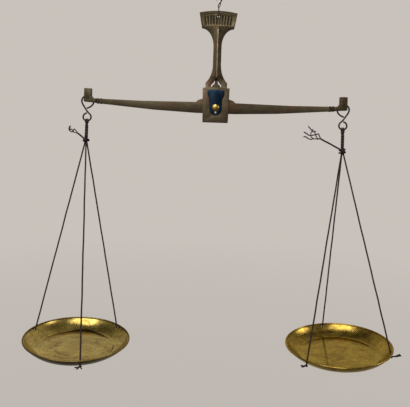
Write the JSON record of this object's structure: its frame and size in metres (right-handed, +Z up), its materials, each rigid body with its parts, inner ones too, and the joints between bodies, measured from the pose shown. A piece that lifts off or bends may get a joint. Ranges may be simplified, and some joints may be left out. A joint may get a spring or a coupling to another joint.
{
  "type": "equal-arm hand scale",
  "caption": "Hanging equal-arm balance: fluted brass handle, tapered beam on knife edges, wire S-hooks and two shallow brass pans on cords.",
  "frame": {"origin": "inner top of the eye of the cord that the scale hangs from", "axes": "+X along the beam to the right pan, +Y away from the front, +Z up"},
  "size_m": [0.3551, 0.1012, 0.3726],
  "materials": {
    "aged_brass": "aged, semi-matte",
    "polished_brass": "polished",
    "steel": "ground",
    "blued_steel": "blued",
    "iron_wire": "dark, aged",
    "cord": "twisted"
  },
  "bodies": {
    "suspension": {"hanging_cord": "cord", "hanging_eye": "cord", "hanging_knot": "cord", "hanging_tail": "cord"},
    "handle": {"handle": "aged_brass", "front_bearing": "steel", "back_bearing": "steel", "front_cover": "blued_steel", "back_cover": "blued_steel", "front_screw": "polished_brass", "back_screw": "polished_brass", "front_pin": "steel", "back_pin": "steel"},
    "beam": {"beam": "aged_brass", "centre_knife": "steel", "pointer": "aged_brass", "left_box": "aged_brass", "right_box": "aged_brass", "left_knife": "steel", "right_knife": "steel"},
    "left_hook": {"left_hook": "iron_wire"},
    "right_hook": {"right_hook": "iron_wire"},
    "left_pan_set": {"left_neck": "cord", "left_knot": "cord", "left_tail": "cord", "left_cord_rear": "cord", "left_cord_outer": "cord", "left_cord_front": "cord", "left_rim_knots": "cord", "left_pan": "polished_brass"},
    "right_pan_set": {"right_neck": "cord", "right_knot": "cord", "right_tail": "cord", "right_cord_rear": "cord", "right_cord_outer": "cord", "right_cord_front": "cord", "right_rim_knots": "cord", "right_pan": "polished_brass"}
  },
  "joints": [
    {"name": "handle_swing", "type": "hinge", "parent": "suspension", "child": "handle", "pos_m": [0, 0, -0.0397], "axis": [0, 1, 0], "range_deg": [-20, 20]},
    {"name": "beam_tilt", "type": "hinge", "parent": "handle", "child": "beam", "pos_m": [0, 0, -0.123], "axis": [0, 1, 0], "range_deg": [-15, 15]},
    {"name": "left_hook_swing", "type": "hinge", "parent": "beam", "child": "left_hook", "pos_m": [-0.127, 0, -0.124], "axis": [0, 1, 0], "range_deg": [-20, 20]},
    {"name": "right_hook_swing", "type": "hinge", "parent": "beam", "child": "right_hook", "pos_m": [0.127, 0, -0.124], "axis": [0, 1, 0], "range_deg": [-20, 20]},
    {"name": "left_pan_swing", "type": "hinge", "parent": "left_hook", "child": "left_pan_set", "pos_m": [-0.127, 0, -0.1494], "axis": [1, 0, 0], "range_deg": [-25, 25]},
    {"name": "right_pan_swing", "type": "hinge", "parent": "right_hook", "child": "right_pan_set", "pos_m": [0.127, 0, -0.1494], "axis": [1, 0, 0], "range_deg": [-25, 25]}
  ]
}
